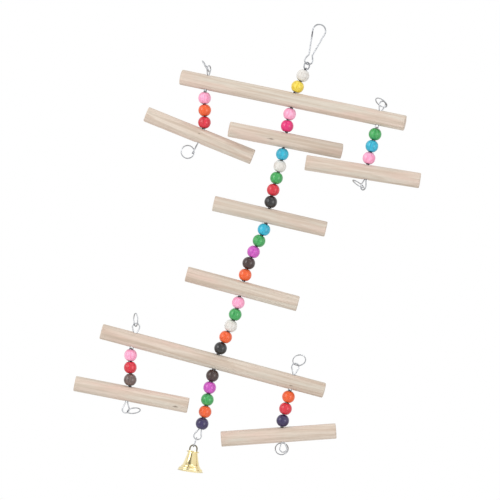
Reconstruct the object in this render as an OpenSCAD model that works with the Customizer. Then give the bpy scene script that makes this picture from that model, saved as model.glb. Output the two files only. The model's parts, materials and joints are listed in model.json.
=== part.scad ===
// Hanging parrot toy: nine dowel perches and thirty-six wooden beads threaded on a wire link chain,
// hung from a spring-wire snap hook and ending in a small brass bell.
// The origin is where the hook hangs, Z is up, and the perches lie along X.

/* [Perches] */
// Diameter of the dowel
perch_d = 12; // [10:0.5:14]
// Length of the top and lower perches
long_perch = 180; // [160:1:240]
// Length of the seven short perches
short_perch = 90; // [60:1:96]
// Chamfer round the ends of a perch
perch_chamfer = 0.8; // [0.3:0.1:1.5]
// Hole through a perch for the chain
perch_hole = 5; // [4.6:0.1:6]
// Distance between the two side holes of the top perch
top_spacing = 138; // [132:1:148]
// Distance between the two side holes of the lower perch
lower_spacing = 128; // [120:1:140]

/* [Beads] */
// Diameter of a bead
bead_d = 10; // [9:0.1:12]
// Hole through a bead
bead_hole = 4.2; // [4:0.1:5]
// Gap between the rims of two neighbouring beads
bead_gap = 0.5; // [0.4:0.05:1]
// Gap between a perch and the end of the next bead's place
perch_gap = 0.35; // [0.2:0.05:1]

/* [Chain] */
// Wire of the chain links
chain_wire = 1; // [0.8:0.05:1.1]
// Outer width of a link
link_width = 3.5; // [3.3:0.05:3.6]
// Length of chain that one link makes
link_pitch = 4.7; // [4:0.1:6]
// Gap between two links where they meet
link_play = 0.15; // [0.1:0.01:0.25]
// Outer length of the link that carries the bell
bell_link_length = 8.2; // [7:0.1:10]

/* [Stop eyes and rings] */
// Outer width of a stop eye
eye_width = 6.7; // [6:0.1:7.5]
// Length of a stop eye outside its neck
eye_length = 9; // [8.4:0.1:10]
// Length of the bell's eye outside its neck
tail_eye_length = 9.4; // [8.4:0.1:10.4]
// Width over the two wires at the neck of an eye
neck_width = 2.5; // [2.3:0.1:2.8]
// Outer diameter of a stop ring
stop_ring_d = 11; // [10:0.1:13]
// Wire of a stop ring
stop_ring_wire = 0.9; // [0.7:0.05:1.1]

/* [Snap hook] */
// Wire of the hook
hook_wire = 1.1; // [0.9:0.05:1.2]
// Outer width of the hook
hook_width = 11.1; // [10:0.1:13]
// Distance from the hook's neck to the centre of its top arc
hook_reach = 19.9; // [17:0.1:24]
// Outer width of the hook's lower eye
hook_eye_width = 7.3; // [7:0.1:8.5]
// Distance from the neck to the centre of the lower eye
hook_eye_reach = 4.6; // [4.3:0.1:6]
// Width over the two wires at the hook's neck
hook_neck_width = 3.8; // [3.4:0.1:4.4]
// Length of the catch that laps the gate
catch_length = 4.3; // [3:0.1:6]
// Outer diameter of the ring under the hook
hook_ring_d = 6.8; // [6.6:0.1:8]
// Wire of the ring under the hook
hook_ring_wire = 1; // [0.9:0.05:1.1]

/* [Bell] */
// Diameter of the bell's mouth
mouth_d = 20; // [18:0.5:26]
// Height of the bell from crown to lip
bell_height = 15.6; // [14:0.2:20]
// Diameter of the crown's flange
crown_d = 9.6; // [9:0.1:11]
// Diameter of the bell under the crown
shoulder_d = 7.2; // [6.8:0.1:8.4]
// Wall of the bell
bell_wall = 0.8; // [0.6:0.05:1]
// Wire of the bell's handle
handle_wire = 1.1; // [1:0.05:1.2]
// Outer width of the handle
handle_width = 6.6; // [6:0.1:7]
// Height of the handle above the crown
handle_height = 5.5; // [5:0.1:7]
// Diameter of the clapper's ball
clapper_d = 4.4; // [3:0.1:5]

/* [How it hangs] */
// Lean of the hook, in degrees, with its foot towards +X when positive
hook_lean = -4.5; // [-10:0.5:5]
// Turn of the ring under the hook, out of the hook's own plane
ring_turn = 45; // [45:1:80]
// Turn of the top perch about the chain
top_turn = -8; // [-12:1:12]
// Turn of the lower perch about the chain
lower_turn = 4; // [-12:1:12]
// Lean of the bell
bell_lean = 7; // [-10:1:12]
// Tip of the bell's mouth towards the front
bell_tip = -8; // [-15:1:15]

/* [Hidden] */
$fn = 48;

// One place on a strand is [kind or colour, lean in degrees, for a perch: name, offset of its middle
// from its hole, turn about the chain]. Strands run downwards from place to place.
MAIN = [
    ["white", -10], ["yellow", -11],
    ["perch", 3, "top_perch", -0.5, top_turn],
    ["pink", -2], ["magenta", 8],
    ["perch", 4, "upper_middle_perch", 0.5, 5],
    ["blue", 6], ["white", 1], ["green", -3], ["red", 2], ["black", 5],
    ["perch", 2, "third_perch", 1.5, 0],
    ["blue", -5], ["green", -12], ["purple", -11], ["brown", -5], ["orange", 1],
    ["perch", 0, "fourth_perch", 0.5, 0],
    ["pink", 4], ["green", -3], ["white", -9], ["orange", -11], ["black", -8],
    ["perch", 0, "lower_perch", -2.5, lower_turn],
    ["brown", 1], ["purple", 3], ["green", 5], ["orange", 4], ["violet", -2]
];
// Place of a perch on the main strand, and how many places lie above the end of each chain length
function place_of(name) = [for (i = [0 : len(MAIN) - 1]) if (MAIN[i][2] == name) i][0];
TOP = place_of("top_perch");
LOWER = place_of("lower_perch");
STRAND_ENDS = [
    0,
    place_of("upper_middle_perch") + 1,
    place_of("third_perch") + 1,
    place_of("fourth_perch") + 1,
    len(MAIN)
];

// A side strand is [name, place of its long perch, side, places, slack under the long perch]
SIDES = [
    ["upper_left", TOP, -1,
        [["pink", 12], ["orange", 19], ["red", 8], ["perch", -7, "upper_left_perch", -1, 0]], 1.2],
    ["upper_right", TOP, 1,
        [["green", 1], ["blue", -1], ["pink", 4], ["perch", 6, "upper_right_perch", -3, 0]], 1.9],
    ["lower_left", LOWER, -1,
        [["pink", 10], ["red", 17], ["grey", 12], ["perch", 4, "lower_left_perch", 2.5, 0]], 1],
    ["lower_right", LOWER, 1,
        [["orange", 4], ["red", -2], ["violet", 6], ["perch", 19, "lower_right_perch", -3, 0]], 0.8]
];
// How each stop eye and its ring lie: [lean, turn, lift of the neck off the perch, place of the
// ring round the eye, its swing, lean and turn there], above the long perch and below the short one
UPPER_EYES = [
    [10, 62, -1.2, -75, 10, 0, -50],
    [-4, 32, -1.1, 75, -130, -20, 40],
    [7, 15, -1.4, -30, 40, 20, -10],
    [5, 10, 0.3, 30, -30, -10, 50]
];
LOWER_EYES = [
    [-13, 90, 0.6, 0, 80, 0, 0],
    [-1, 45, -0.4, -75, 100, -20, 20],
    [8, 20, 0.6, 75, 0, 20, -30],
    [19, 15, -0.8, 45, 150, -10, -80]
];

// Colours of the stained beads
STAINS = [
    ["white", [0.89, 0.87, 0.84]], ["yellow", [0.93, 0.79, 0.24]], ["pink", [0.96, 0.58, 0.72]],
    ["magenta", [0.86, 0.16, 0.46]], ["blue", [0.15, 0.58, 0.74]], ["green", [0.12, 0.55, 0.27]],
    ["red", [0.80, 0.13, 0.22]], ["black", [0.14, 0.13, 0.14]], ["purple", [0.46, 0.18, 0.48]],
    ["brown", [0.25, 0.17, 0.13]], ["orange", [0.93, 0.38, 0.11]], ["violet", [0.22, 0.13, 0.38]],
    ["grey", [0.36, 0.31, 0.31]]
];
wood_colour = [0.89, 0.83, 0.77];
zinc_colour = [0.76, 0.77, 0.78];
steel_colour = [0.55, 0.56, 0.57];
brass_colour = [0.91, 0.77, 0.38];
handle_colour = [0.42, 0.36, 0.22];

// Joints of bent wire
joint_gap = 0.02;
joint_swell = 0.02;
// Lean of the tail's eye
tail_lean = -8;

// Places along a strand
bead_length = sqrt(pow(bead_d, 2) - pow(bead_hole, 2));
bead_place = bead_length + bead_gap;
perch_place = perch_d + 2 * perch_gap;

function down(lean) = [sin(lean), 0, -cos(lean)];
function is_perch(place) = place[0] == "perch";
function place_length(place) = is_perch(place) ? perch_place : bead_place;
function place_top(strand, i, start) =
    i == 0 ? start
    : place_top(strand, i - 1, start) + place_length(strand[i - 1]) * down(strand[i - 1][1]);
function place_middle(strand, i, start) =
    place_top(strand, i, start) + place_length(strand[i]) / 2 * down(strand[i][1]);

// Points where links meet: one at the foot of each link of each place
function links_in(place) = max(1, round(place_length(place) / link_pitch));
function meets(strand, start) = [
    for (i = [0 : len(strand) - 1], j = [1 : links_in(strand[i])])
        place_top(strand, i, start)
            + j / links_in(strand[i]) * place_length(strand[i]) * down(strand[i][1])
];
function links_before(strand, i) = i == 0 ? 0 : links_before(strand, i - 1) + links_in(strand[i - 1]);
function between(p, q, pitch) =
    let (n = max(1, round(norm(q - p) / pitch)))
    [for (j = [0 : n]) p + j / n * (q - p)];
function tail_of(list, n) = [for (i = [n : len(list) - 1]) list[i]];

// Two wires that hook together lie this far apart, centre to centre
function hooked(wire_a, wire_b) = (wire_a + wire_b) / 2 + link_play;
link_hook = hooked(chain_wire, chain_wire);
bend_r = (link_width - chain_wire) / 2;

// A wire that leaves a neck and runs tangent onto an arc, with the arc's centre on the axis
function lead_angle(half_neck, reach, arc_r) =
    asin(arc_r / norm([half_neck, reach])) - atan(half_neck / reach);
function lead_length(half_neck, reach, arc_r) =
    sqrt(pow(half_neck, 2) + pow(reach, 2) - pow(arc_r, 2));
function corner_loss(bend, r) = r * tan(bend / 2);

// Stop eye: a small loop inside the hole, a neck, and a round loop outside
half_neck = (neck_width - chain_wire) / 2;
eye_r = (eye_width - chain_wire) / 2;
eye_bend_r = 0.8;
ring_play = 0.1;
inner_angle = 12;
inner_run = (bend_r * cos(inner_angle) - half_neck) / sin(inner_angle);
inner_height = bend_r * sin(inner_angle) + inner_run * cos(inner_angle);
// From the neck in to where the next link meets the eye
eye_depth = inner_height + bend_r - link_hook / 2;

// Snap hook, from the bar that it hangs on down to its ring
hook_arc_r = (hook_width - hook_wire) / 2;
hook_eye_r = (hook_eye_width - hook_wire) / 2;
hook_half_neck = (hook_neck_width - hook_wire) / 2;
hook_arc_z = -(hook_arc_r - hook_wire / 2);
hook_neck_z = hook_arc_z - hook_reach;
hook_foot_z = hook_neck_z - hook_eye_reach - hook_eye_r;
hook_bend_r = 1.2;
gate_gap = 0.15;
gate_angle = lead_angle(hook_half_neck, hook_reach, hook_arc_r);
eye_angle = lead_angle(hook_half_neck, hook_eye_reach, hook_eye_r);
leg_length = lead_length(hook_half_neck, hook_reach, hook_arc_r);

// Ring under the hook, and the start of the chain on it
ring_r = (hook_ring_d - hook_ring_wire) / 2;
ring_slack = 0.2;
ring_centre = (ring_r - hook_foot_z - hooked(hook_wire, hook_ring_wire) - ring_slack) * down(hook_lean);
chain_start = ring_centre + (ring_r - hooked(hook_ring_wire, chain_wire) / 2) * down(0);
// The first bead starts this far below the first meeting, clear of the ring
first_gap = 1;
main_start = chain_start + first_gap * down(MAIN[0][1]);
main_end = place_top(MAIN, len(MAIN), main_start);
// Tail: an eye at the last bead, whose inner loop ends the chain
tail_neck = main_end - 0.6 * down(MAIN[len(MAIN) - 1][1]);
tail_meet = tail_neck - eye_depth * down(tail_lean);
ALL_MEETS = concat([chain_start], meets(MAIN, main_start));
kept_meets = len(ALL_MEETS) - 2;
MAIN_MEETS = concat(
    [for (i = [0 : kept_meets - 1]) ALL_MEETS[i]],
    tail_of(between(ALL_MEETS[kept_meets - 1], tail_meet, link_pitch), 1)
);
main_links = len(MAIN_MEETS) - 1;
// The links stand square to the ring at the top and square to the eye at the foot, each square to
// the one above with the rest of the turn shared out
first_turn = ring_turn + 90;
last_turn = 90;
function left_over(turn, links) = (turn - 90 * links + 36000 + 90) % 180 - 90;
main_rest = left_over(last_turn - first_turn, main_links - 1);
function main_turn(i) = first_turn + i * (90 + main_rest / (main_links - 1));

// Side strands
function axis_of(place) = [
    cos(place[4]) * cos(place[1]), sin(place[4]), cos(place[4]) * sin(place[1])
];
function spacing_at(i) = i == TOP ? top_spacing : lower_spacing;
function side_hole(s) =
    let (i = SIDES[s][1], place = MAIN[i])
    place_middle(MAIN, i, main_start)
        + (place[3] + SIDES[s][2] * spacing_at(i) / 2) * axis_of(place);
function side_lean(s) = MAIN[SIDES[s][1]][1];
function side_start(s) = side_hole(s) + (perch_place / 2 + SIDES[s][4]) * down(side_lean(s));
function upper_neck(s) = side_hole(s) - (perch_d / 2 + UPPER_EYES[s][2]) * down(side_lean(s));
function upper_meet(s) = upper_neck(s) + eye_depth * down(UPPER_EYES[s][0]);
function side_perch_middle(s) = place_middle(SIDES[s][3], 3, side_start(s));
function lower_neck(s) =
    side_perch_middle(s) + (perch_d / 2 + LOWER_EYES[s][2]) * down(SIDES[s][3][3][1]);
function lower_meet(s) = lower_neck(s) - eye_depth * down(LOWER_EYES[s][0]);
// Meetings inside the long perch, and from there down to the lower eye
function hole_meets(s) = between(upper_meet(s), side_start(s), link_pitch);
function bead_meets(s) =
    concat([side_start(s)], meets([for (i = [0 : 2]) SIDES[s][3][i]], side_start(s)));
function strand_meets(s) =
    let (beads = bead_meets(s), last = beads[len(beads) - 1])
    concat(beads, tail_of(between(last, lower_meet(s), link_pitch), 1));
function side_links(s) = len(hole_meets(s)) + len(strand_meets(s)) - 2;
function side_rest(s) = left_over(LOWER_EYES[s][1] - UPPER_EYES[s][1], side_links(s) + 1);
function side_turn(s, i) =
    UPPER_EYES[s][1] + (i + 1) * (90 + side_rest(s) / (side_links(s) + 1));

// The bell's link and the bell
bell_link_top = tail_neck + (tail_eye_length - chain_wire / 2 - link_hook / 2) * down(tail_lean);
bell_link_lean = -4;
bell_link_pitch = bell_link_length - chain_wire - link_hook / 2
    - hooked(chain_wire, handle_wire) / 2;
bell_meet = bell_link_top + bell_link_pitch * down(bell_link_lean);
// The bell hangs with its handle's wire above the link's, in the bell's own frame from the crown
handle_r = (handle_width - handle_wire) / 2;
bell_hang_z = handle_height - handle_wire / 2 - hooked(chain_wire, handle_wire) / 2;

// Bell outline
crown_thick = 1;
crown_edge = 0.6;
waist_z = 0.70 * bell_height;
waist_r = 0.28 * mouth_d;
body_curve = 1.6;
band_z = 0.78 * bell_height;
band_r = 0.355 * mouth_d;
hoop_z = 0.885 * bell_height;
hoop_r = 0.445 * mouth_d;
band_round = 0.45;
lip_thick = 0.7;
curve_steps = 12;
function body_r(z) = shoulder_d / 2 + (waist_r - shoulder_d / 2) * pow(z / waist_z, body_curve);
// Lug under the crown, and the clapper that hangs on it
lug_wire = 0.8;
lug_r = 1.5;
clapper_wire = 0.8;
clapper_ring_r = 1.05;
lug_foot_z = -crown_thick - lug_r;
clapper_pivot_z = lug_foot_z + hooked(lug_wire, clapper_wire) / 2;
clapper_ring_z = lug_foot_z + hooked(lug_wire, clapper_wire) - clapper_ring_r;
clapper_z = -0.8 * bell_height;

BEADS = concat(
    [for (i = [0 : len(MAIN) - 1]) if (!is_perch(MAIN[i]))
        [MAIN[i], place_middle(MAIN, i, main_start)]],
    [for (s = [0 : 3], i = [0 : 2]) [SIDES[s][3][i], place_middle(SIDES[s][3], i, side_start(s))]]
);
function two_digits(n) = str(n < 10 ? "0" : "", n);
function bead_name(i) = str("bead_", two_digits(i + 1), "_", BEADS[i][0][0]);
PERCHES = concat(
    [for (i = [0 : len(MAIN) - 1]) if (is_perch(MAIN[i]))
        [MAIN[i], place_middle(MAIN, i, main_start), i == TOP || i == LOWER ? spacing_at(i) : 0]],
    [for (s = [0 : 3]) [SIDES[s][3][3], side_perch_middle(s), 0]]
);

// Wire bent along a list of [straight length, bend, bend radius, turn of the plane before it],
// starting at the origin and heading up Z. A positive bend goes towards +X. The pieces stop just
// short of each other and a ball a hair wider than the wire closes each joint.
module bent_wire(steps, wire, i = 0) {
    if (i < len(steps)) {
        straight = steps[i][0];
        bend = steps[i][1];
        r = steps[i][2];
        flip = bend < 0 ? 180 : 0;
        rotate([0, 0, steps[i][3] + flip]) {
            if (straight > 0) translate([0, 0, joint_gap])
                cylinder(h = straight - 2 * joint_gap, d = wire);
            if (straight > 0) sphere(d = wire + joint_swell);
            translate([0, 0, straight]) {
                sphere(d = wire + joint_swell);
                if (bend != 0) bend_arc(abs(bend), r, wire, joint_gap / r * 180 / PI);
                translate(bend == 0 ? [0, 0, 0] : r * [1 - cos(bend), 0, sin(abs(bend))])
                    rotate([0, abs(bend), 0]) rotate([0, 0, -flip]) bent_wire(steps, wire, i + 1);
            }
        }
    } else {
        sphere(d = wire + joint_swell);
    }
}

// Round bend from the origin, heading up Z and turning towards +X, trimmed at both ends
module bend_arc(bend, r, wire, trim) {
    translate([r, 0, 0]) rotate([90, 0, 180]) rotate([0, 0, trim])
        rotate_extrude(angle = bend - 2 * trim) translate([r, 0]) circle(d = wire);
}

module wire_ring(r, wire) {
    rotate_extrude() translate([r, 0]) circle(d = wire);
}

// Oblong link standing along Z, centred, in the XZ plane, with its sides cut to 0.02 mm steps
module chain_link(length, width, wire) {
    r = (width - wire) / 2;
    side = round((length - width) * 50) / 50;
    for (s = [0, 180]) rotate([0, s, 0]) translate([-r, 0, -side / 2]) {
        cylinder(h = side, d = wire);
        translate([0, 0, side]) bend_arc(180, r, wire, 0);
    }
}

// Link that joins two meetings
module link_between(p, q, turn, hook_p = link_hook, hook_q = link_hook) {
    way = q - p;
    length = norm(way) + (hook_p + hook_q) / 2 + chain_wire;
    lean = atan2(way[0], -way[2]);
    translate((p + q) / 2 + (hook_q - hook_p) / 4 * down(lean))
        rotate([0, -lean, 0]) rotate([0, 0, turn]) chain_link(length, link_width, chain_wire);
}

// Stop eye with its neck at the origin and its round loop up Z
module stop_eye(length) {
    reach = length - chain_wire / 2 - eye_r;
    outward = lead_angle(half_neck, reach, eye_r);
    corner = inner_angle + outward;
    loss = corner_loss(corner, eye_bend_r);
    half = [
        [0, 90 + inner_angle, bend_r, 0],
        [inner_run - loss, -corner, eye_bend_r, 0],
        [lead_length(half_neck, reach, eye_r) - loss, 90 + outward, eye_r, 0]
    ];
    for (m = [0, 1]) mirror([m, 0, 0])
        translate([0, 0, -inner_height - bend_r]) rotate([0, 90, 0]) rotate([0, 0, 180])
            bent_wire(half, chain_wire);
}

// Stop ring on the far end of an eye
module stop_ring(length, place, swing, lean, turn) {
    r = (stop_ring_d - stop_ring_wire) / 2;
    translate([0, 0, length - chain_wire / 2 - eye_r]) rotate([0, place, 0])
        translate([0, 0, eye_r]) rotate([swing, 0, 0]) rotate([0, lean, 0]) rotate([0, 0, turn])
        translate([0, 0, r - hooked(chain_wire, stop_ring_wire) - ring_play])
        rotate([0, 90, 0]) wire_ring(r, stop_ring_wire);
}

module eye_and_ring(neck, pose, up) {
    translate(neck) rotate([0, -pose[0], 0]) rotate([0, 0, pose[1]]) rotate([up ? 0 : 180, 0, 0]) {
        stop_eye(eye_length);
        stop_ring(eye_length, pose[3], pose[4], pose[5], pose[6]);
    }
}

// Spring-wire snap hook: one wire from the gate's tip, round the lower eye, up and over the top,
// and down to the catch that laps the gate
module snap_hook() {
    neck_bend = gate_angle + eye_angle;
    loss = corner_loss(neck_bend, hook_bend_r);
    eye_run = lead_length(hook_half_neck, hook_eye_reach, hook_eye_r) - loss;
    gate = leg_length - catch_length * 0.25 - loss;
    catch_r = hook_wire + gate_gap;
    steps = [
        [gate, neck_bend, hook_bend_r, 0],
        [eye_run, -180 - 2 * eye_angle, hook_eye_r, 0],
        [eye_run, neck_bend, hook_bend_r, 0],
        [leg_length - loss, -180 - 2 * gate_angle, hook_arc_r, 0],
        [0.2, -35, 2, 90],
        [0.4, 35, 2, 0],
        [catch_length * 0.8, 0, 1, 0]
    ];
    tip = hook_half_neck * [-1, 0, 0] + [0, 0, hook_neck_z]
        + (gate + loss) * [-sin(gate_angle), 0, cos(gate_angle)];
    color(zinc_colour) rotate([0, -hook_lean, 0])
        translate(tip) rotate([0, 180 - gate_angle, 0]) bent_wire(steps, hook_wire);
}

module hook_ring() {
    color(steel_colour) translate(ring_centre) rotate([0, 0, ring_turn]) rotate([90, 0, 0])
        wire_ring(ring_r, hook_ring_wire);
}

// Dowel along X with a chain hole along Z, and two side holes where it carries side strands
module perch(p) {
    place = p[0];
    length = p[2] > 0 ? long_perch : short_perch;
    core = length - 2 * perch_chamfer;
    holes = p[2] > 0 ? [0, place[3] - p[2] / 2, place[3] + p[2] / 2] : [0];
    color(wood_colour) translate(p[1]) rotate([0, -place[1], 0]) rotate([0, 0, place[4]])
        difference() {
            translate([place[3], 0, 0]) rotate([0, 90, 0]) {
                cylinder(h = core, d = perch_d, center = true);
                for (m = [0, 1]) mirror([0, 0, m]) translate([0, 0, core / 2])
                    cylinder(h = perch_chamfer, d1 = perch_d, d2 = perch_d - 2 * perch_chamfer);
            }
            for (x = holes) translate([x, 0, 0])
                cylinder(h = perch_d + 2, d = perch_hole, center = true);
        }
}

module bead(b) {
    stain = [for (s = STAINS) if (s[0] == b[0][0]) s[1]][0];
    color(stain) translate(b[1]) rotate([0, -b[0][1], 0]) difference() {
        sphere(d = bead_d);
        cylinder(h = bead_d + 2, d = bead_hole, center = true);
    }
}

// One length of the main chain
module strand_links(b) {
    first = links_before(MAIN, STRAND_ENDS[b - 1]);
    last = b == 4 ? main_links - 1 : links_before(MAIN, STRAND_ENDS[b]) - 1;
    color(zinc_colour) {
        for (i = [first : last])
            link_between(MAIN_MEETS[i], MAIN_MEETS[i + 1], main_turn(i),
                i == 0 ? hooked(hook_ring_wire, chain_wire) : link_hook);
        if (b == 4) {
            translate(tail_neck) rotate([0, -tail_lean, 0]) rotate([180, 0, 0])
                stop_eye(tail_eye_length);
            link_between(bell_link_top, bell_meet, 90, link_hook, hooked(chain_wire, handle_wire));
        }
    }
}

// Eyes, rings and links that a long perch carries in its side holes
module perch_links(place) {
    color(zinc_colour) for (s = [0 : 3]) if (SIDES[s][1] == place) {
        points = hole_meets(s);
        eye_and_ring(upper_neck(s), UPPER_EYES[s], true);
        for (i = [0 : len(points) - 2])
            link_between(points[i], points[i + 1], side_turn(s, i));
    }
}

// Chain, lower eye and stop ring of a side strand
module side_strand_links(s) {
    points = strand_meets(s);
    above = len(hole_meets(s)) - 1;
    color(zinc_colour) {
        for (i = [0 : len(points) - 2])
            link_between(points[i], points[i + 1], side_turn(s, above + i));
        eye_and_ring(lower_neck(s), LOWER_EYES[s], false);
    }
}

module bell_frame() {
    translate(bell_meet) rotate([0, -bell_lean, 0]) rotate([bell_tip, 0, 0])
        translate([0, 0, -bell_hang_z]) children();
}

// Handle wire, from foot to foot through the crown
module bell_handle() {
    leg = handle_height - handle_wire / 2 - handle_r + crown_thick;
    color(handle_colour) bell_frame() translate([-handle_r, 0, -crown_thick])
        bent_wire([[leg, 180, handle_r, 0], [leg, 0, 1, 0]], handle_wire);
}

// Half-round band on the outside of the bell
function band(r, z) = [
    for (a = [60 : -30 : -60]) [r + band_round * cos(a), -z + band_round * sin(a)]
];

module bell_shell() {
    outside = concat(
        [[0, 0], [crown_d / 2, 0], [crown_d / 2, -crown_edge], [shoulder_d / 2, -crown_edge - 0.3]],
        [for (i = [1 : curve_steps]) let (z = waist_z * i / curve_steps)
            if (z > crown_edge + 0.4) [body_r(z), -z]],
        band(band_r - band_round, band_z),
        band(hoop_r - band_round, hoop_z),
        [[mouth_d / 2, -bell_height + lip_thick * 0.6], [mouth_d / 2, -bell_height]]
    );
    inside = concat(
        [[mouth_d / 2 - lip_thick, -bell_height], [hoop_r - bell_wall - 0.3, -hoop_z],
            [band_r - bell_wall - 0.4, -band_z]],
        [for (i = [curve_steps : -1 : 1]) let (z = waist_z * i / curve_steps)
            if (z > crown_thick + 0.2) [body_r(z) - bell_wall, -z]],
        [[shoulder_d / 2 - bell_wall, -crown_thick], [0, -crown_thick]]
    );
    color(brass_colour) bell_frame() {
        difference() {
            rotate_extrude() polygon(concat(outside, inside));
            for (x = [-1, 1]) translate([x * handle_r, 0, -crown_thick - 1])
                cylinder(h = crown_thick + 2, d = handle_wire + 0.1);
        }
        translate([0, 0, -crown_thick]) rotate([90, 0, 180])
            rotate_extrude(angle = 180) translate([lug_r, 0]) circle(d = lug_wire);
    }
}

// Clapper: a ball on a short wire, with a ring that hangs on the lug
module bell_clapper() {
    stem_top = clapper_ring_z - clapper_ring_r;
    color(steel_colour) bell_frame() {
        translate([0, 0, clapper_ring_z]) rotate([0, 90, 0]) wire_ring(clapper_ring_r, clapper_wire);
        translate([0, 0, clapper_z]) cylinder(h = stem_top - clapper_z, d = clapper_wire);
        translate([0, 0, clapper_z]) sphere(d = clapper_d);
    }
}

snap_hook();
hook_ring();
for (p = PERCHES) perch(p);
for (i = [0 : len(BEADS) - 1]) bead(BEADS[i]);
for (b = [1 : 4]) strand_links(b);
perch_links(TOP);  // top_perch_links
perch_links(LOWER);  // lower_perch_links
for (s = [0 : 3]) side_strand_links(s);
bell_handle();
bell_shell();
bell_clapper();
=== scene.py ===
# Looks of the hanging parrot toy: sanded dowels, stained beads, plated wire and a polished bell.
# Sizes of the pieces are in mm, which MM turns into the frame's metres; the room is in metres.
import json
import math
import random

import bmesh
import bpy
import numpy as np
from mathutils import Matrix, Vector, noise


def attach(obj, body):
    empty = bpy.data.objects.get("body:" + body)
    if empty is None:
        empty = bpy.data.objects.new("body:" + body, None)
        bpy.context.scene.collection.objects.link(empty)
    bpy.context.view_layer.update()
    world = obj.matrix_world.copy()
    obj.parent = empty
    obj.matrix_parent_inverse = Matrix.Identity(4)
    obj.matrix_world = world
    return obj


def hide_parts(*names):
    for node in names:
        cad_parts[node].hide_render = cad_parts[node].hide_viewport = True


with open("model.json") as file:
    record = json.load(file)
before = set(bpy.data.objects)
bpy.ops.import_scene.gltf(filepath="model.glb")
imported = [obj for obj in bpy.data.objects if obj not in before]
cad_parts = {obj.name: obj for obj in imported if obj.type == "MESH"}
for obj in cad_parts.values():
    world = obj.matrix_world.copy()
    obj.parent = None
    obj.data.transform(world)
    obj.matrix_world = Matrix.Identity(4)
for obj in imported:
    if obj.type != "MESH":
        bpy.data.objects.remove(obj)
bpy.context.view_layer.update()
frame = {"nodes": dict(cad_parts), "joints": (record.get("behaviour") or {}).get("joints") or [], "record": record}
nodes = frame["nodes"]
joints = {joint["child"]: joint for joint in frame["joints"]}
bodies = frame["record"]["behaviour"]["bodies"]
body_of = {member: body for body, members in bodies.items() for member in members}

MM = 0.001
FULL_TURN = 2 * math.pi

# Sizes that the pieces and their finishes share
BEAD_R = 5.0
BORE_R = 2.1
BORE_EDGE = 0.22
PERCH_R = 6.0
PERCH_EDGE = 0.8
DRILL_R = 2.5
OUTER_HOLES_APART = {"top_perch": 138, "lower_perch": 128}


# Writing node trees
class Net:
    """A node tree with short calls to add and join its nodes."""

    def __init__(self, tree):
        self.tree = tree

    def add(self, kind, **settings):
        node = self.tree.nodes.new(kind)
        for key, value in settings.items():
            setattr(node, key, value)
        return node

    def put(self, socket, value):
        """Joins a socket to another one, or sets it to a plain value."""
        if isinstance(value, bpy.types.NodeSocket):
            self.tree.links.new(value, socket)
        elif isinstance(value, tuple) and socket.type == "RGBA":
            socket.default_value = (*value[:3], 1)
        else:
            socket.default_value = value

    def feed(self, node, values):
        """Puts values into a node's inputs, by name or, for a tuple, from the first one on."""
        pairs = values.items() if isinstance(values, dict) else enumerate(values)
        for label, value in pairs:
            self.put(node.inputs[label], value)
        return node.outputs

    def place(self, group, **values):
        """Adds a node group; underscores in the names of its inputs stand for spaces."""
        node = self.add("ShaderNodeGroup", node_tree=group)
        return self.feed(node, {label.replace("_", " "): value for label, value in values.items()})

    def attribute(self, name, output="Vector"):
        return self.add("ShaderNodeAttribute", attribute_name=name).outputs[output]

    def object_place(self):
        return self.add("ShaderNodeTexCoord").outputs["Object"]

    def parts(self, vector):
        return self.feed(self.add("ShaderNodeSeparateXYZ"), (vector,))

    def math(self, operation, a, b=0.0, c=0.0):
        return self.feed(self.add("ShaderNodeMath", operation=operation), (a, b, c))[0]

    def noise(self, vector, scale, detail=3.0, softness=0.5):
        values = {"Vector": vector, "Scale": scale, "Detail": detail, "Roughness": softness}
        return self.feed(self.add("ShaderNodeTexNoise"), values)["Fac"]

    def ramp(self, value, stops):
        """Turns a value into a grey level, by stops of (value, level)."""
        node = self.add("ShaderNodeValToRGB")
        elements = node.color_ramp.elements
        while len(elements) < len(stops):
            elements.new(0.5)
        for element, (at, level) in zip(elements, stops):
            element.position = at
            element.color = (level, level, level, 1)
        return self.feed(node, (value,))[0]

    def mix(self, share, a, b, blend="MIX"):
        """Goes from colour a to colour b with the share."""
        node = self.add("ShaderNodeMix", data_type="RGBA", blend_type=blend)
        return self.feed(node, {0: share, 6: a, 7: b})[2]

    def bump(self, height, strength, distance):
        values = {"Strength": strength, "Distance": distance, "Height": height}
        return self.feed(self.add("ShaderNodeBump"), values)[0]


def new_group(name, takes, gives):
    """A shader node group with named inputs and outputs; gives back its net and its sockets."""
    group = bpy.data.node_groups.new(name, "ShaderNodeTree")
    for way, sockets in (("INPUT", takes), ("OUTPUT", gives)):
        for label, kind in sockets.items():
            group.interface.new_socket(label, in_out=way, socket_type="NodeSocket" + kind)
    net = Net(group)
    return group, net, net.add("NodeGroupInput").outputs, net.add("NodeGroupOutput").inputs


def new_material(name):
    """An empty material; gives back its net and the inputs of its shader."""
    material = bpy.data.materials.new(name)
    material.use_nodes = True
    tree = material.node_tree
    tree.nodes.clear()
    net = Net(tree)
    shader = net.add("ShaderNodeBsdfPrincipled")
    net.put(net.add("ShaderNodeOutputMaterial").inputs[0], shader.outputs[0])
    return material, net, shader.inputs


# Effects that several finishes share
def make_long_grain():
    """Noise drawn out along the wood."""
    takes = {"Place": "Vector", "Stretch": "Vector", "Detail": "Float", "Softness": "Float"}
    group, net, take, give = new_group("long_grain", takes, {"Grain": "Float"})
    stretched = net.add("ShaderNodeVectorMath", operation="MULTIPLY")
    drawn_out = net.feed(stretched, (take["Place"], take["Stretch"]))[0]
    net.put(give["Grain"], net.noise(drawn_out, 1.0, take["Detail"], take["Softness"]))
    return group


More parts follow.
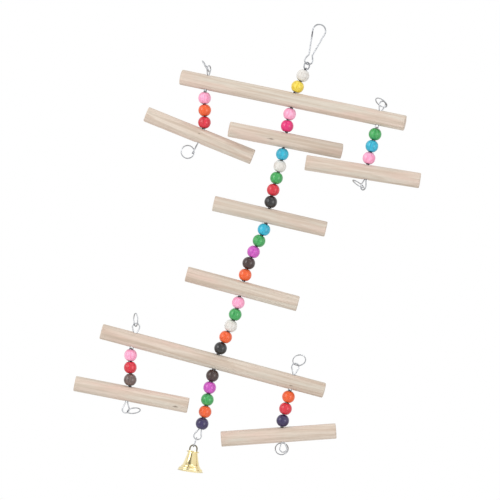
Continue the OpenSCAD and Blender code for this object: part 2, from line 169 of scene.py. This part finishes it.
def make_bead_stain(long_grain):
    """Stain soaked into turned wood, darker in the open grain and in clouds; the colour also darkens towards the
    bore.
    """
    takes = {"Own": "Vector", "Plain": "Vector", "Stain": "Color", "Dark": "Color"}
    group, net, take, give = new_group("bead_stain", takes, {"Colour": "Color", "Grain": "Float"})
    grain = net.place(
        long_grain, Place=take["Own"], Stretch=(900, 900, 70), Detail=5.0, Softness=0.6
    )["Grain"]
    colour = net.mix(net.ramp(grain, [(0.40, 0.0), (0.66, 1.0)]), take["Stain"], take["Dark"])
    cloud = net.noise(take["Own"], 260.0)
    colour = net.mix(net.ramp(cloud, [(0.45, 0.0), (0.75, 0.5)]), colour, take["Dark"])
    height = net.math("ABSOLUTE", net.parts(take["Plain"])[2])
    share_of_radius = net.math("MULTIPLY", height, 1 / (BEAD_R * MM))
    near_bore = net.ramp(share_of_radius, [(0.74, 0.0), (0.93, 0.75)])
    deep = net.mix(1.0, take["Dark"], (0.3, 0.3, 0.3), "MULTIPLY")
    net.put(give["Colour"], net.mix(near_bore, colour, deep))
    net.put(give["Grain"], grain)
    return group


def make_worn_metal():
    """Metal with cloudy wear and fine scratches, and painted shade where its mask says."""
    takes = {"Place": "Vector", "Metal": "Color", "Worn": "Color", "Grime": "Color"}
    takes |= {"Grimy": "Float", "Gloss loss": "Float", "Scratches": "Float", "Fineness": "Float"}
    gives = {"Colour": "Color", "Roughness": "Float", "Height": "Float"}
    group, net, take, give = new_group("worn_metal", takes, gives)
    fine = net.noise(take["Place"], take["Fineness"], 4.0, 0.6)
    broad = net.noise(take["Place"], net.math("MULTIPLY", take["Fineness"], 0.18), 2.0)
    colour = net.mix(net.ramp(broad, [(0.40, 0.0), (0.70, 1.0)]), take["Metal"], take["Worn"])
    net.put(give["Colour"], net.mix(take["Grimy"], colour, take["Grime"]))
    rough = net.math("MULTIPLY_ADD", fine, take["Scratches"], take["Gloss loss"])
    net.put(give["Roughness"], rough)
    net.put(give["Height"], fine)
    return group


LONG_GRAIN = make_long_grain()
BEAD_STAIN = make_bead_stain(LONG_GRAIN)
WORN_METAL = make_worn_metal()

WOOD_PALE = (0.730, 0.640, 0.550)
WOOD_TAN = (0.540, 0.420, 0.330)
WOOD_STREAK = (0.520, 0.415, 0.325)
WOOD_GREY = (0.600, 0.570, 0.490)
WOOD_PINK = (0.690, 0.500, 0.420)
WOOD_FLAME = (0.600, 0.400, 0.265)
WOOD_FIBRE = (0.480, 0.370, 0.290)
WOOD_KNOT = (0.130, 0.080, 0.055)
YEARS_PER_METRE = 360.0


def growth_rings(net, own, grain):
    """Late wood of the growth rings, wavy and slightly conical, round an axis off to one side."""
    x, y, z = net.parts(own)
    warp = grain((9, 60, 60), 3.0)
    wobble = grain((4, 40, 41), 2.0)
    y = net.math("MULTIPLY_ADD", warp, 0.010, y)
    z = net.math("MULTIPLY_ADD", warp, 0.006, z)
    depth = net.math("SQRT", net.math("MULTIPLY_ADD", y, y, net.math("MULTIPLY", z, z)))
    depth = net.math("MULTIPLY_ADD", x, 0.03, depth)
    depth = net.math("MULTIPLY_ADD", wobble, 0.004, depth)
    year = net.math("FRACT", net.math("MULTIPLY", depth, YEARS_PER_METRE))
    return net.ramp(year, [(0.0, 0.0), (0.62, 0.30), (0.88, 1.0), (0.95, 0.8), (1.0, 0.0)])


def perch_wood():
    """Pale sanded softwood with growth rings, streaks and fibres, and the marks painted on it."""
    material, net, shader = new_material("perch_wood")
    own = net.attribute("own")

    def grain(stretch, detail, softness=0.5):
        return net.place(LONG_GRAIN, Place=own, Stretch=stretch, Detail=detail, Softness=softness)[0]

    def painted(mark, strength):
        return net.math("MULTIPLY", net.attribute(mark, "Fac"), strength)

    late = growth_rings(net, own, grain)
    fibres = grain((70, 2600, 2600), 6.0, 0.62)
    streaks = grain((13, 430, 430), 4.0, 0.55)
    bands = grain((8, 210, 190), 2.0)
    patches = grain((22, 120, 130), 2.0)
    layers = [
        (net.math("MULTIPLY", late, 0.60), WOOD_TAN),
        (net.ramp(bands, [(0.42, 0.0), (0.62, 0.60)]), WOOD_GREY),
        (net.ramp(patches, [(0.48, 0.0), (0.70, 0.65)]), WOOD_PINK),
        (net.ramp(streaks, [(0.46, 0.0), (0.64, 0.75)]), WOOD_STREAK),
        (painted("flame", 0.60), WOOD_FLAME),
        (net.ramp(fibres, [(0.42, 0.0), (0.66, 0.36)]), WOOD_FIBRE),
        (painted("knot", 0.80), WOOD_KNOT),
        (painted("end", 0.30), WOOD_TAN),
    ]
    colour = WOOD_PALE
    for share, tint in layers:
        colour = net.mix(share, colour, tint)
    net.put(shader["Base Color"], colour)
    net.put(shader["Roughness"], 0.62)
    net.put(shader["Specular IOR Level"], 0.28)
    height = net.math("MULTIPLY_ADD", fibres, 0.6, net.math("MULTIPLY", late, 0.35))
    net.put(shader["Normal"], net.bump(height, 0.35, 0.06 * MM))
    return material


def stained_bead(name, stain, dark):
    """Stained wood under a soft lacquer."""
    material, net, shader = new_material("stain_" + name)
    own, plain = net.attribute("own"), net.attribute("plain")
    look = net.place(BEAD_STAIN, Own=own, Plain=plain, Stain=stain, Dark=dark)
    net.put(shader["Base Color"], look["Colour"])
    net.put(shader["Roughness"], 0.48)
    net.put(shader["Coat Weight"], 0.60)
    net.put(shader["Coat Roughness"], 0.24)
    net.put(shader["Normal"], net.bump(look["Grain"], 0.22, 0.05 * MM))
    return material


def worn_metal(name, metal, worn, gloss_loss, scratches, fineness=900.0, shade_colour=None, mask=None):
    """Metal finish; painted shade darkens it where the mask says, and without one it has none."""
    material, net, shader = new_material(name)
    where = net.object_place()
    look = net.place(
        WORN_METAL, Place=where, Metal=metal, Worn=worn, Grime=shade_colour or worn,
        Grimy=mask(net, where) if mask else 0.0, Gloss_loss=gloss_loss, Scratches=scratches,
        Fineness=fineness,
    )
    net.put(shader["Base Color"], look["Colour"])
    net.put(shader["Metallic"], 1.0)
    net.put(shader["Roughness"], look["Roughness"])
    net.put(shader["Normal"], net.bump(look["Height"], 0.08, 0.03 * MM))
    return material


def painted_shade_near_parts(net, where):
    """Where other surfaces come within 3 mm; painted shade on the wire between the beads goes there."""
    near = net.add("ShaderNodeAmbientOcclusion", samples=8)
    near.inputs["Distance"].default_value = 3.0 * MM
    return net.ramp(near.outputs["AO"], [(0.18, 1.0), (0.75, 0.0)])


def lapped_by_catch(net, where):
    """The stretch of the hook's gate leg, 6 to 11 mm below the origin, where its catch laps over; painted shade
    goes there.
    """
    x, _, z = net.parts(where)
    down = net.math("MULTIPLY", z, -1 / (20 * MM))
    stretch = net.ramp(down, [(0.29, 0.0), (0.33, 1.0), (0.51, 1.0), (0.55, 0.0)])
    return net.math("MULTIPLY", stretch, net.math("LESS_THAN", x, -2.0 * MM))


# Finishes; a stain is its colour and the darker one in the grain
STAINS = {
    "white": ((0.77, 0.76, 0.72), (0.63, 0.58, 0.53)),
    "yellow": ((0.90, 0.71, 0.07), (0.68, 0.46, 0.02)),
    "pink": ((0.97, 0.47, 0.66), (0.86, 0.24, 0.44)),
    "magenta": ((0.83, 0.01, 0.19), (0.60, 0.01, 0.13)),
    "blue": ((0.01, 0.50, 0.69), (0.01, 0.31, 0.47)),
    "green": ((0.05, 0.42, 0.10), (0.01, 0.25, 0.05)),
    "red": ((0.75, 0.01, 0.04), (0.50, 0.01, 0.02)),
    "black": ((0.008, 0.008, 0.009), (0.004, 0.003, 0.004)),
    "purple": ((0.69, 0.10, 0.57), (0.42, 0.05, 0.39)),
    "brown": ((0.046, 0.018, 0.013), (0.023, 0.008, 0.006)),
    "orange": ((0.89, 0.12, 0.008), (0.70, 0.07, 0.007)),
    "violet": ((0.027, 0.012, 0.096), (0.012, 0.006, 0.057)),
    "grey": ((0.17, 0.11, 0.095), (0.08, 0.05, 0.045)),
}
# Painted shade: dark brown on the wire where it runs between the beads, grey on the hook's gate leg under its
# catch
PAINTED_GAP_SHADE = (0.06, 0.045, 0.04)
PAINTED_CATCH_SHADE = (0.12, 0.12, 0.13)
STAINED = {name: stained_bead(name, *colours) for name, colours in STAINS.items()}
WOOD = perch_wood()
# The zinc wire gets painted shade where other parts crowd it, the hook wire on the stretch under its catch
ZINC = worn_metal(
    "zinc_wire", (0.50, 0.51, 0.53), (0.40, 0.41, 0.43), 0.24, 0.12, shade_colour=PAINTED_GAP_SHADE, mask=painted_shade_near_parts
)
HOOK_WIRE = worn_metal(
    "hook_wire", (0.44, 0.45, 0.47), (0.36, 0.37, 0.39), 0.26, 0.12, shade_colour=PAINTED_CATCH_SHADE,
    mask=lapped_by_catch,
)
STEEL = worn_metal("ring_steel", (0.34, 0.35, 0.37), (0.26, 0.27, 0.29), 0.30, 0.12)
BRASS = worn_metal("bell_brass", (0.91, 0.79, 0.47), (0.85, 0.71, 0.37), 0.09, 0.10, 500.0)
HANDLE = worn_metal("handle_brass", (0.22, 0.19, 0.12), (0.14, 0.12, 0.075), 0.30, 0.20)
CLAPPER = worn_metal("clapper_steel", (0.55, 0.54, 0.52), (0.42, 0.40, 0.38), 0.28, 0.15)


# Shaping with mesh operators
SHARP_DEGREES = 40


def circle_spin(bm, geom, axis, angle, steps):
    """Spins about the origin; a full turn closes on itself."""
    return bmesh.ops.spin(
        bm, geom=geom, cent=(0, 0, 0), axis=axis, dvec=(0, 0, 0), angle=angle, steps=steps,
        use_merge=math.isclose(angle, FULL_TURN), use_normal_flip=False, use_duplicate=False,
    )


def outline(bm, corners):
    """An open line of points given as (radius, height) in mm."""
    points = [bm.verts.new((radius * MM, 0, height * MM)) for radius, height in corners]
    for pair in zip(points, points[1:]):
        bm.edges.new(pair)
    return points


def round_bar(bm, radius, length, sides):
    """A bar along Z round the origin, its radius in mm and its length in metres."""
    bmesh.ops.create_cone(
        bm, cap_ends=True, cap_tris=False, segments=sides, radius1=radius * MM,
        radius2=radius * MM, depth=length,
    )


def merge_and_face_out(bm):
    bmesh.ops.remove_doubles(bm, verts=bm.verts, dist=0.0002 * MM)
    bmesh.ops.recalc_face_normals(bm, faces=bm.faces)


def round_edges(bm, edges, width, segments):
    bmesh.ops.bevel(
        bm, geom=edges, offset=width * MM, offset_type="OFFSET", segments=segments, profile=0.5,
        affect="EDGES", material=-1, clamp_overlap=True,
    )


def edges_that_turn(bm, degrees):
    """Edges where the surface turns by more than so many degrees."""
    limit = math.radians(degrees)
    return [e for e in bm.edges if len(e.link_faces) == 2 and e.calc_face_angle(0.0) > limit]


def mark_sharp(bm):
    for edge in edges_that_turn(bm, SHARP_DEGREES):
        edge.smooth = False


def finish_mesh(bm, name):
    """Makes the object, smooth but for its sharp edges."""
    for face in bm.faces:
        face.smooth = True
    mark_sharp(bm)
    mesh = bpy.data.meshes.new(name)
    bm.to_mesh(mesh)
    bm.free()
    obj = bpy.data.objects.new(name, mesh)
    bpy.context.scene.collection.objects.link(obj)
    return obj


def axes_at(origin, x_axis, z_axis):
    """Axes with Z as given and X as near as it can be."""
    z = z_axis.normalized()
    x = (x_axis - z * x_axis.dot(z)).normalized()
    place = Matrix((x, z.cross(x), z)).transposed().to_4x4()
    place.translation = origin
    return place


def store_values(obj, label, values):
    """Stores one number for each point, which a material reads by the label."""
    layer = obj.data.attributes.new(label, "FLOAT", "POINT")
    layer.data.foreach_set("value", values)


def store_vectors(obj, label, vectors):
    """Stores one vector for each point, which a material reads by the label."""
    layer = obj.data.attributes.new(label, "FLOAT_VECTOR", "POINT")
    layer.data.foreach_set("vector", [number for vector in vectors for number in vector])


def store_place(obj, place, shift):
    """Stores each point in the piece's own axes, plain and shifted to a grain of its own."""
    inverse = place.inverted()
    plain = [inverse @ vertex.co for vertex in obj.data.vertices]
    shift = Vector(shift)
    store_vectors(obj, "plain", plain)
    store_vectors(obj, "own", [point + shift for point in plain])


def stand_for(obj, node):
    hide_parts(node)
    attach(obj, body_of[node])


# Beads: turned balls with a bore, its edge broken, each a little uneven outside the bore's edge
BEAD_STEPS = 36
BEAD_SIDES = 60
BEAD_ROUNDING = 0.08
BEAD_EVEN_R = 2.7
BEAD_DENT = 0.06
BEAD_DENTS_PER_METRE = 300


def ball_with_bore(bm):
    """A ball round the origin, with its bore along Z."""
    mouth = math.asin((BORE_R + BORE_EDGE) / BEAD_R)
    rim_z = BEAD_R * math.cos(mouth)
    top = bm.verts.new((BEAD_R * math.sin(mouth) * MM, 0, rim_z * MM))
    swept = circle_spin(bm, [top], (0, 1, 0), math.pi - 2 * mouth, BEAD_STEPS)
    bottom = [part for part in swept["geom_last"] if isinstance(part, bmesh.types.BMVert)][0]
    bore = outline(bm, [(BORE_R, -rim_z + BORE_EDGE), (BORE_R, 0), (BORE_R, rim_z - BORE_EDGE)])
    bm.edges.new((bottom, bore[0]))
    bm.edges.new((bore[-1], top))
    circle_spin(bm, bm.verts[:] + bm.edges[:], (0, 0, 1), FULL_TURN, BEAD_SIDES)
    merge_and_face_out(bm)
    round_edges(bm, edges_that_turn(bm, 25), BEAD_ROUNDING, 2)


def turn_bead(name, seed):
    joint = joints[body_of[name]]
    random.seed(seed)
    turned = Matrix.Rotation(random.uniform(0, 6.28), 4, "Z")
    place = axes_at(Vector(joint["pos_m"]), Vector((1, 0, 0)), Vector(joint["axis"])) @ turned
    bm = bmesh.new()
    ball_with_bore(bm)
    wander = Vector((seed, seed * 2, 0))
    for vertex in bm.verts:
        if vertex.co.xy.length > BEAD_EVEN_R * MM:
            dent = min(0.0, noise.noise(vertex.co * BEAD_DENTS_PER_METRE + wander))
            vertex.co += vertex.co.normalized() * dent * BEAD_DENT * MM
    bm.transform(place)
    obj = finish_mesh(bm, "turned_" + name)
    store_place(obj, place, [random.uniform(-0.1, 0.1) for _ in range(3)])
    colour = name.rsplit("_", 1)[1]
    obj.data.materials.append(STAINED[colour])
    stand_for(obj, name)


# Perches: sanded dowels with rounded ends and drilled holes, each a little out of true
PERCH_SIDES = 112
PERCH_RINGS = 130
LONG_PERCH_RINGS = 240
DRILL_SIDES = 40
WAVES_PER_METRE = 60
OUT_OF_TRUE = 0.004
SAWN_DEPTH = 0.9


def perch_place(name):
    """Axes at the hole with X along the perch and Z along the hole, and its two ends on X."""
    joint = joints[body_of[name]]
    hole = np.array(joint["pos_m"])
    axis = np.array(joint["axis"]) / np.linalg.norm(joint["axis"])
    points = np.array([vertex.co for vertex in nodes[name].data.vertices]) - hole
    flat = points - np.outer(points @ axis, axis)
    along = np.linalg.svd(flat - flat.mean(0), full_matrices=False)[2][0]
    along *= np.sign(along[0])
    reach = points @ along
    return axes_at(Vector(hole), Vector(along), Vector(axis)), reach.min(), reach.max()


def sand_dowel(bm, start, end, rings, seed):
    """A dowel along X between two places in metres, its surface a little out of true."""
    round_bar(bm, PERCH_R, end - start, PERCH_SIDES)
    round_edges(bm, edges_that_turn(bm, 60), PERCH_EDGE, 4)
    long_edges = [e for e in bm.edges if e.calc_length() > 20 * MM]
    bmesh.ops.subdivide_edges(bm, edges=long_edges, cuts=rings, use_grid_fill=True)
    laid_along_x = Matrix.Rotation(math.pi / 2, 4, "Y")
    bm.transform(Matrix.Translation(((start + end) / 2, 0, 0)) @ laid_along_x)
    for vertex in bm.verts:
        x, y, z = vertex.co
        across = math.hypot(y, z) or 1.0
        round_about = (y / across * 0.8 + seed, z / across * 0.8)
        wave = noise.noise(Vector((x * WAVES_PER_METRE, *round_about)))
        vertex.co.yz *= 1 + OUT_OF_TRUE * (wave - 0.6)


def drill(obj, place):
    """Drills a hole across the perch."""
    bm = bmesh.new()
    round_bar(bm, DRILL_R, 3 * PERCH_R * MM, DRILL_SIDES)
    bm.transform(place)
    bit = finish_mesh(bm, "drill_bit")
    cut = obj.modifiers.new("hole", "BOOLEAN")
    cut.operation = "DIFFERENCE"
    cut.solver = "EXACT"
    cut.object = bit
    bpy.context.view_layer.objects.active = obj
    bpy.ops.object.modifier_apply(modifier=cut.name)
    bpy.data.objects.remove(bit)


def drill_holes(obj, place, centres):
    """Drills all holes and marks their sharp edges."""
    for x in centres:
        drill(obj, place @ Matrix.Translation((x, 0, 0)))
    bm = bmesh.new()
    bm.from_mesh(obj.data)
    mark_sharp(bm)
    bm.to_mesh(obj.data)
    bm.free()


# Marks in the wood, in mm from the hole and degrees up from the side that faces the camera:
# a knot is (place, angle, half length, half width), a flame is (tip, length to the right, angle at
# the tip, angle at its far end, widest half width)
KNOTS = {
    "upper_middle_perch": [(-11.5, -13, 3.6, 0.55)],
    "upper_left_perch": [(-1.6, 12, 1.1, 0.45)],
    "lower_perch": [(61, -28, 1.6, 0.7)],
    "lower_left_perch": [(38, -24, 2.2, 0.8)],
}
FLAMES = {
    "upper_right_perch": [(16, 34, -4, -14, 4.2)],
    "lower_right_perch": [(-36, 58, -8, 34, 3.4), (2, -16, -20, 0, 2.0)],
    "third_perch": [(-6, 40, -30, -18, 2.2)],
    "fourth_perch": [(30, -44, 24, 10, 2.4)],
    "upper_middle_perch": [(14, 30, -16, -6, 2.6)],
    "upper_left_perch": [(-38, 60, 20, -12, 2.6)],
    "top_perch": [(-30, 70, -6, -26, 2.4), (30, 52, 30, 12, 2.0)],
    "lower_perch": [(-70, 60, -20, -4, 2.2), (6, 64, -34, -14, 2.4)],
}
KNOT_RAGGED = 0.6
FLAME_RAGGED = 0.35
FLAME_SOFTNESS = 2.2
FLAME_END = 1.25
FLAME_FADE = 0.45


def knot_value(along, around, knot, seed):
    at, angle, half_length, half_width = knot
    across = math.radians(around - angle) * PERCH_R
    ragged = 1 + KNOT_RAGGED * noise.noise(Vector((along * 0.5, across * 0.8, seed)))
    distance = math.hypot((along - at) / half_length, across / half_width) * ragged
    return max(0.0, 1 - distance * distance)


def flame_value(along, around, flame, seed):
    tip, length, tip_angle, far_angle, half_width = flame
    share = (along - tip) / length
    if share <= 0 or share > FLAME_END:
        return 0.0
    across = math.radians(around - (tip_angle + (far_angle - tip_angle) * share)) * PERCH_R
    ragged = FLAME_RAGGED * noise.noise(Vector((along * 0.09, across * 0.5, seed)))
    half = half_width * (math.sqrt(min(1.0, share * 1.4)) + ragged)
    inside = 1 - abs(across) / max(half, 0.05)
    fade = min(1.0, (FLAME_END - share) / FLAME_FADE)
    return max(0.0, min(1.0, inside * FLAME_SOFTNESS)) * fade


def paint_perch(obj, place, name, start, end, seed):
    """Stores where the knots, the flames of darker grain and the sawn ends are."""
    x = place.col[0].xyz
    front = Vector((0, -1, 0)) - x * x.dot(Vector((0, -1, 0)))
    front.normalize()
    upward = front.cross(x)
    if upward.z < 0:
        upward = -upward
    knots, flames, ends = [], [], []
    for vertex in obj.data.vertices:
        point = vertex.co - place.translation
        along = point.dot(x)
        around = math.degrees(math.atan2(point.dot(upward), point.dot(front)))
        spots = [knot_value(along / MM, around, knot, seed) for knot in KNOTS.get(name, ())]
        tongues = [flame_value(along / MM, around, flame, seed) for flame in FLAMES.get(name, ())]
        knots.append(max(spots, default=0.0))
        flames.append(max(tongues, default=0.0))
        ends.append(max(0.0, 1 - min(along - start, end - along) / (SAWN_DEPTH * MM)))
    store_values(obj, "knot", knots)
    store_values(obj, "flame", flames)
    store_values(obj, "end", ends)


def make_perch(name, seed):
    place, start, end = perch_place(name)
    random.seed(seed)
    holes = [0.0]
    rings = PERCH_RINGS
    if name in OUTER_HOLES_APART:
        middle, apart = (start + end) / 2, OUTER_HOLES_APART[name] * MM
        holes += [middle - apart / 2, middle + apart / 2]
        rings = LONG_PERCH_RINGS
    bm = bmesh.new()
    sand_dowel(bm, start, end, rings, seed)
    bm.transform(place)
    obj = finish_mesh(bm, "dowel_" + name)
    drill_holes(obj, place, holes)
    along = random.uniform(-0.5, 0.5)
    back = random.uniform(0.004, 0.012) * random.choice((-1, 1))
    up = random.uniform(-0.012, 0.012)
    store_place(obj, place, (along, back, up))
    paint_perch(obj, place, name, start, end, seed)
    obj.data.materials.append(WOOD)
    stand_for(obj, name)


# Bell: a spun cup with a crown flange, a cone, two bands and a flared lip, and the lug inside it.
# The outlines are (radius, height), from the crown's middle to the lip and back up inside, and the
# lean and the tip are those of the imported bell
BELL_OUTSIDE = [
    (0, 0), (4.8, 0), (4.8, -0.6), (3.7, -0.9), (3.9, -1.7), (4.35, -3.4), (4.85, -5.2),
    (5.35, -7), (5.9, -8.8), (6.45, -10.4), (7.05, -11.6), (7.5, -11.8), (7.7, -12.1),
    (7.65, -12.4), (7.75, -12.7), (8.6, -13.2), (9.15, -13.4), (9.4, -13.7), (9.3, -14.05),
    (9.35, -14.4), (9.7, -14.9), (10, -15.2), (10, -15.6),
]
BELL_INSIDE = [
    (9.3, -15.6), (8.4, -14), (7, -12.4), (6.2, -11.2), (5.5, -9.4), (4.6, -6.5), (3.75, -3.4),
    (3.1, -1.4), (2.9, -1), (0, -1),
]
BELL_HEIGHT = -BELL_OUTSIDE[-1][1]
BELL_SIDES = 96
BELL_ROUNDING = 0.10
CROWN_THICKNESS = 1
BELL_LEAN = Matrix.Rotation(math.radians(-7), 4, "Y")
BELL_TIP = Matrix.Rotation(math.radians(-8), 4, "X")
LUG_R = 1.5
LUG_WIRE_R = 0.4


def bend_lug(bm):
    """Half a ring of wire under the crown, for the clapper."""
    bmesh.ops.create_circle(bm, cap_ends=True, segments=20, radius=LUG_WIRE_R * MM)
    bm.transform(Matrix.Translation((LUG_R * MM, 0, 0)))
    circle_spin(bm, bm.verts[:] + bm.edges[:] + bm.faces[:], (0, 1, 0), math.pi, 24)
    bm.transform(Matrix.Translation((0, 0, -CROWN_THICKNESS * MM)))


def make_bell():
    """Z runs up the bell's middle, from the top of its crown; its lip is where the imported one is."""
    hung = Vector(joints["bell"]["pos_m"])
    turned = BELL_LEAN @ BELL_TIP
    upward = turned.col[2].xyz
    lip = min((vertex.co - hung).dot(upward) for vertex in nodes["bell_shell"].data.vertices)
    bm = bmesh.new()
    bend_lug(bm)
    outline(bm, BELL_OUTSIDE + BELL_INSIDE)
    loose = [edge for edge in bm.edges if not edge.link_faces]
    ends = list({vertex for edge in loose for vertex in edge.verts})
    circle_spin(bm, ends + loose, (0, 0, 1), FULL_TURN, BELL_SIDES)
    merge_and_face_out(bm)
    round_edges(bm, edges_that_turn(bm, 35), BELL_ROUNDING, 3)
    bm.transform(Matrix.Translation(hung + upward * (lip + BELL_HEIGHT * MM)) @ turned)
    obj = finish_mesh(bm, "spun_bell")
    obj.data.materials.append(BRASS)
    stand_for(obj, "bell_shell")


# Making the pieces; each bead and perch has a grain of its own from its seed
BEADS = sorted(name for name in nodes if name.startswith("bead_"))
PERCHES = [name for name in nodes if name.endswith("_perch")]
for seed, name in enumerate(BEADS, 1):
    turn_bead(name, seed)
for seed, name in enumerate(PERCHES, 100):
    make_perch(name, seed)
make_bell()

# Wire, handle and clapper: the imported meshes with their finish
FINISH = {
    "snap_hook": HOOK_WIRE, "hook_ring": STEEL, "bell_handle": HANDLE, "bell_clapper": CLAPPER,
}
for name, obj in nodes.items():
    if obj.hide_render:
        continue
    obj.data.materials.clear()
    obj.data.materials.append(FINISH.get(name, ZINC))
    obj.data.polygons.foreach_set("use_smooth", [True] * len(obj.data.polygons))

# Camera: level, far away and rolled by 15 degrees
ROLL = math.radians(15)
DISTANCE = 2.6
VIEW_WIDTH = 389.7 * MM
LOOK_AT = Vector((-8.25, 0, -183.4)) * MM
SENSOR_WIDTH = 36
FARTHEST = 40


def place_camera():
    right = Vector((math.cos(ROLL), 0, math.sin(ROLL)))
    up = Vector((-math.sin(ROLL), 0, math.cos(ROLL)))
    forward = Vector((0, 1, 0))
    data = bpy.data.cameras.new("photo")
    data.sensor_width = SENSOR_WIDTH
    data.lens = SENSOR_WIDTH * DISTANCE / VIEW_WIDTH
    data.clip_end = FARTHEST
    camera = bpy.data.objects.new("photo", data)
    bpy.context.scene.collection.objects.link(camera)
    stand = Matrix((right, up, -forward)).transposed().to_4x4()
    stand.translation = LOOK_AT - forward * DISTANCE
    camera.matrix_world = stand
    bpy.context.scene.camera = camera


place_camera()

# A plain pale floor, far below the hanging toy
FLOOR_R = 12.0
FLOOR_Z = -1.6


def lay_floor():
    bm = bmesh.new()
    bmesh.ops.create_circle(bm, cap_ends=True, segments=96, radius=FLOOR_R)
    bm.transform(Matrix.Translation((0, 0, FLOOR_Z)))
    floor = finish_mesh(bm, "floor")
    material, net, shader = new_material("pale_floor")
    cloud = net.noise(net.object_place(), 3.0)
    net.put(shader["Base Color"], net.mix(cloud, (0.94, 0.94, 0.94), (0.90, 0.90, 0.90)))
    net.put(shader["Roughness"], 0.7)
    floor.data.materials.append(material)


lay_floor()


# Light: a white room with a soft box either side of the camera and one overhead
def soft_box(name, place, target, size, brightness):
    """A rectangular lamp whose brightness is its share of full white light on what faces it."""
    data = bpy.data.lights.new(name, "AREA")
    data.shape = "RECTANGLE"
    data.size, data.size_y = size
    way = Vector(target) - Vector(place)
    data.energy = brightness * (math.pi * way.length) ** 2
    light = bpy.data.objects.new(name, data)
    bpy.context.scene.collection.objects.link(light)
    light.location = place
    light.rotation_euler = way.to_track_quat("-Z", "Y").to_euler()


MIDDLE = (-0.005, 0, -0.18)
soft_box("box_left", (-2.3, -1.5, 0.35), MIDDLE, (1.3, 1.9), 0.46)
soft_box("box_right", (1.9, -2.1, 0.15), MIDDLE, (1.1, 1.7), 0.28)
soft_box("box_top", (-0.2, -0.5, 3.0), MIDDLE, (2.2, 1.8), 0.22)


def build_room():
    """White where the camera looks and in what the metal mirrors, but for a dark gap between the
    soft boxes; a plain grey level, brighter from above, lights the object."""
    world = bpy.data.worlds.new("room")
    bpy.context.scene.world = world
    world.use_nodes = True
    world.node_tree.nodes.clear()
    net = Net(world.node_tree)

    def wall(colour, strength=1.0):
        values = {"Color": colour, "Strength": strength}
        return net.feed(net.add("ShaderNodeBackground"), values)[0]

    def switch(share, a, b):
        return net.feed(net.add("ShaderNodeMixShader"), (share, a, b))[0]

    x, y, z = net.parts(net.add("ShaderNodeTexCoord").outputs["Generated"])
    side = net.math("ARCTAN2", x, net.math("MULTIPLY", y, -1.0))
    turn = net.math("MULTIPLY_ADD", side, 1 / FULL_TURN, 0.5)
    gap = net.ramp(turn, [(0.28, 1.0), (0.35, 0.20), (0.42, 0.20), (0.48, 1.0)])
    height = net.math("MULTIPLY_ADD", z, 0.5, 0.5)
    level = net.ramp(height, [(0.0, 0.62), (0.30, 0.70), (0.50, 0.62), (0.62, 0.90), (1.0, 1.0)])
    path = net.add("ShaderNodeLightPath").outputs
    seen = net.math("MAXIMUM", path["Is Camera Ray"], path["Is Transmission Ray"])
    room = switch(path["Is Glossy Ray"], wall(level, 0.72), wall(gap))
    room = switch(seen, room, wall((1, 1, 1)))
    net.put(net.add("ShaderNodeOutputWorld").inputs[0], room)


build_room()

bpy.context.scene.view_settings.view_transform = "Standard"
